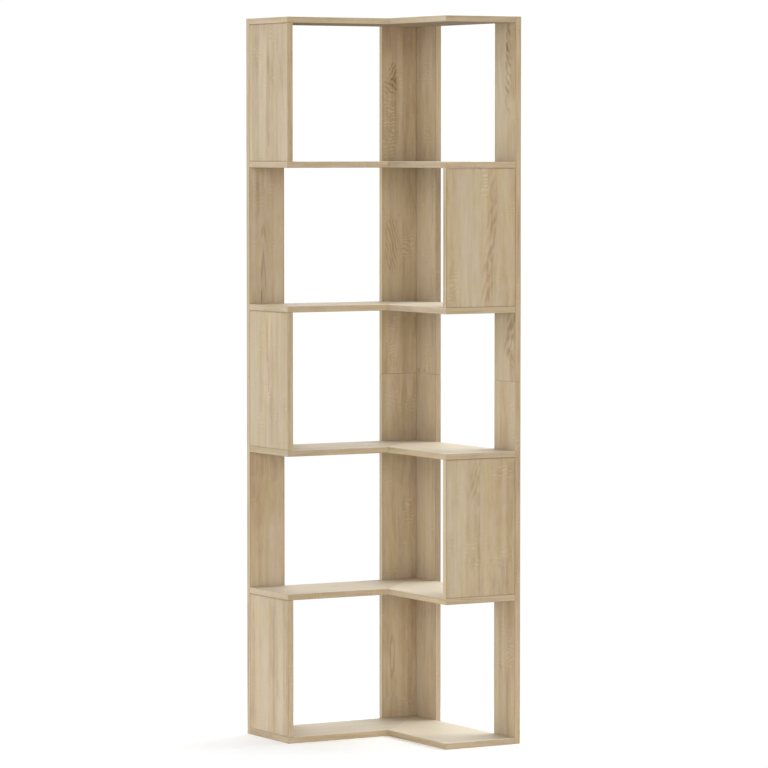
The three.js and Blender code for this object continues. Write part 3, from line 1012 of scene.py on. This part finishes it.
def beech_material():
    """Raw turned beech with short dark flecks."""
    material, graph = new_material("raw_beech")
    place = graph.place()
    fibres = graph.noise(graph.vector("MULTIPLY", place, BEECH_FIBRE_SCALE), detail=3.0)
    flecks = graph.noise(graph.vector("MULTIPLY", place, BEECH_FLECK_SCALE))
    dark = graph.multiply(graph.step(flecks, *BEECH_FLECK_RANGE), BEECH_FLECK_TONE)
    tone = graph.add(fibres, dark)
    roughness = graph.add(BEECH_ROUGHNESS["base"], graph.swing(fibres, BEECH_ROUGHNESS["fibres"]))
    end_material(graph, {
        "Base Color": graph.ramp(tone, BEECH_TONES),
        "Roughness": roughness,
        "Normal": graph.bump(tone, *BEECH_BUMP)})
    return material


def add_object(name, data):
    made = bpy.data.objects.new(name, data)
    bpy.context.scene.collection.objects.link(made)
    return made


def turn_towards(item, direction, front="Z"):
    """Turns an object so that its front axis looks in a direction."""
    item.rotation_mode = "QUATERNION"
    item.rotation_quaternion = Vector(direction).to_track_quat(front, "Y")


def around(count):
    """Angles evenly round a circle."""
    return [2 * math.pi * step / count for step in range(count)]


def hexagon_radius(angle, across_flats):
    """How far a hexagon's side is from its middle at an angle."""
    sector = 2 * math.pi / HEXAGON_SIDES
    return across_flats / 2 / math.cos(angle % sector - sector / 2)


def make_ring(body, angles, radius_at, height):
    return [body.verts.new((radius_at(angle) * math.cos(angle),
                            radius_at(angle) * math.sin(angle), height)) for angle in angles]


def join_rings(body, rings):
    """Skins a row of rings with equal counts of points, and closes the first and the last."""
    count = len(rings[0])
    for above, below in zip(rings, rings[1:]):
        for here in range(count):
            after = (here + 1) % count
            body.faces.new((above[here], below[here], below[after], above[after]))
    body.faces.new(rings[0])
    body.faces.new(list(reversed(rings[-1])))


def smooth_mesh(name, body, material):
    bmesh.ops.recalc_face_normals(body, faces=body.faces)
    mesh = bpy.data.meshes.new(name)
    body.to_mesh(mesh)
    body.free()
    mesh.shade_smooth()
    mesh.set_sharp_from_angle(angle=SHARP_ANGLE)
    mesh.materials.append(material)
    return mesh


def add_thread(body):
    """A ridge with a sharp crest, wound round the shaft and running out at both ends."""
    steps = THREAD_TURNS * THREAD_STEPS
    sections = []
    for step in range(steps + 1):
        turn = step / THREAD_STEPS
        fade = min(1.0, turn, THREAD_TURNS - turn)
        crest = THREAD_ROOT + (THREAD_CREST - THREAD_ROOT) * fade
        angle = 2 * math.pi * turn
        height = THREAD_TOP - THREAD_PITCH * turn
        points = ((THREAD_ROOT, height + THREAD_HALF_WIDTH), (crest, height),
                  (THREAD_ROOT, height - THREAD_HALF_WIDTH))
        sections.append([body.verts.new((radius * math.cos(angle), radius * math.sin(angle), place))
                         for radius, place in points])
    join_rings(body, sections)


def screw_mesh(material):
    """A countersunk screw with a hexagon socket: its outer face is at height 0, its tip below."""
    body = bmesh.new()
    angles = around(SCREW_SEGMENTS)

    def socket(share):
        return lambda angle: hexagon_radius(angle, SOCKET_ACROSS_FLATS) * share

    wide_share = 1.0 + 2 * SOCKET_EASE / SOCKET_ACROSS_FLATS
    rings = [
        make_ring(body, angles, socket(SOCKET_POINT_SHARE), -SOCKET_POINT),
        make_ring(body, angles, socket(1.0), -SOCKET_DEPTH),
        make_ring(body, angles, socket(1.0), -SOCKET_EASE),
        make_ring(body, angles, socket(wide_share), 0.0),
    ]
    for radius, height in SCREW_PROFILE:
        rings.append(make_ring(body, angles, lambda angle, size=radius: size, height))
    join_rings(body, rings)
    add_thread(body)
    return smooth_mesh("screw", body, material)


def dowel_mesh(material):
    """A fluted peg with eased ends, its middle at height 0."""
    body = bmesh.new()
    angles = around(FLUTE_COUNT * FLUTE_SEGMENTS)

    def fluted(angle):
        groove = max(0.0, math.cos(FLUTE_COUNT * angle))
        return DOWEL_RADIUS - FLUTE_DEPTH * groove

    def eased(angle):
        return DOWEL_RADIUS - DOWEL_EASE

    shoulder = DOWEL_HALF_LENGTH - DOWEL_EASE
    join_rings(body, [
        make_ring(body, angles, eased, DOWEL_HALF_LENGTH),
        make_ring(body, angles, fluted, shoulder),
        make_ring(body, angles, fluted, -shoulder),
        make_ring(body, angles, eased, -DOWEL_HALF_LENGTH),
    ])
    return smooth_mesh("dowel", body, material)


def place_fastener(name, mesh):
    """Puts a detailed fastener in a CAD fastener's place. A screw's head is at its box's high end."""
    low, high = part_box(name)
    size = high - low
    axis = max(range(3), key=lambda index: size[index])
    place = (low + high) / 2
    if name.startswith("screw_"):
        place[axis] = high[axis]
    piece = add_object("detailed_" + name, mesh)
    turn_towards(piece, AXES[axis])
    piece.location = place
    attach(piece, "root")
    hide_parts(name)


def finish_nodes():
    screw = screw_mesh(steel_material())
    dowel = dowel_mesh(beech_material())
    for number, name in enumerate(sorted(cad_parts)):
        if is_board(name):
            finish_board(name, seed=number * BOARD_SEED)
        elif name.startswith("screw_"):
            place_fastener(name, screw)
        else:
            place_fastener(name, dowel)


def make_floor():
    """A pale disc on which the unit stands, and which fades out into the white surroundings."""
    mesh = bpy.data.meshes.new("floor")
    body = bmesh.new()
    bmesh.ops.create_circle(body, cap_ends=True, segments=FLOOR_SEGMENTS, radius=FLOOR_RADIUS)
    body.to_mesh(mesh)
    body.free()
    floor = add_object("floor", mesh)
    floor.location.z = CAD_BOX[0].z - FLOOR_GAP
    material, graph = new_material("pale_floor")
    place = graph.place()
    away = graph.node("ShaderNodeVectorMath", {0: place}, operation="LENGTH").outputs["Value"]
    fade = graph.step(away, *FLOOR_FADE)
    mottle = graph.noise(graph.scale(place, FLOOR_MOTTLE_SCALE), detail=3.0)
    shader = graph.node("ShaderNodeBsdfPrincipled", {
        "Base Color": graph.ramp(mottle, FLOOR_TONES),
        "Roughness": graph.add(FLOOR_ROUGHNESS, graph.swing(mottle, FLOOR_ROUGHNESS_SWING)),
        "Specular IOR Level": 0.0,
        "Emission Color": rgba(WHITE),
        "Emission Strength": FLOOR_GLOW})
    clear = graph.node("ShaderNodeBsdfTransparent")
    mix = graph.node("ShaderNodeMixShader", {0: fade, 1: shader.outputs[0], 2: clear.outputs[0]})
    graph.node("ShaderNodeOutputMaterial", {"Surface": mix.outputs[0]})
    mesh.materials.append(material)


def make_surroundings():
    """White surroundings: one strength lights the unit and another is seen behind it."""
    world = bpy.data.worlds.new("studio")
    bpy.context.scene.world = world
    world.use_nodes = True
    world.node_tree.nodes.clear()
    graph = Graph(world.node_tree)
    camera_ray = graph.node("ShaderNodeLightPath").outputs["Is Camera Ray"]
    extra = graph.multiply(camera_ray, SURROUNDINGS_SEEN - SURROUNDINGS_LIGHT)
    strength = graph.add(SURROUNDINGS_LIGHT, extra)
    shader = graph.node("ShaderNodeBackground", {"Color": rgba(WHITE), "Strength": strength})
    graph.node("ShaderNodeOutputWorld", {"Surface": shader.outputs[0]})


def make_soft_sun(name, towards, strength, colour, width):
    """An even light from one side, as from a large soft lamp far away."""
    data = bpy.data.lights.new(name, "SUN")
    data.energy = strength * math.pi
    data.angle = math.radians(width)
    data.color = colour
    turn_towards(add_object(name, data), towards)


def make_lights():
    for name, (towards, strength, colour, width) in LIGHTS.items():
        make_soft_sun(name, towards, strength, colour, width)


def make_camera():
    data = bpy.data.cameras.new("camera")
    data.lens = CAMERA_LENS
    data.sensor_width = CAMERA_SENSOR
    camera = add_object("camera", data)
    ahead = Vector((-math.sin(CAMERA_AZIMUTH) * math.cos(CAMERA_PITCH),
                    math.cos(CAMERA_AZIMUTH) * math.cos(CAMERA_PITCH), -math.sin(CAMERA_PITCH)))
    camera.location = CAMERA_AIM - ahead * CAMERA_DISTANCE
    turn_towards(camera, ahead, front="-Z")
    bpy.context.scene.camera = camera


make_camera()
finish_nodes()
make_floor()
make_surroundings()
make_lights()
bpy.context.scene.view_settings.view_transform = "Standard"
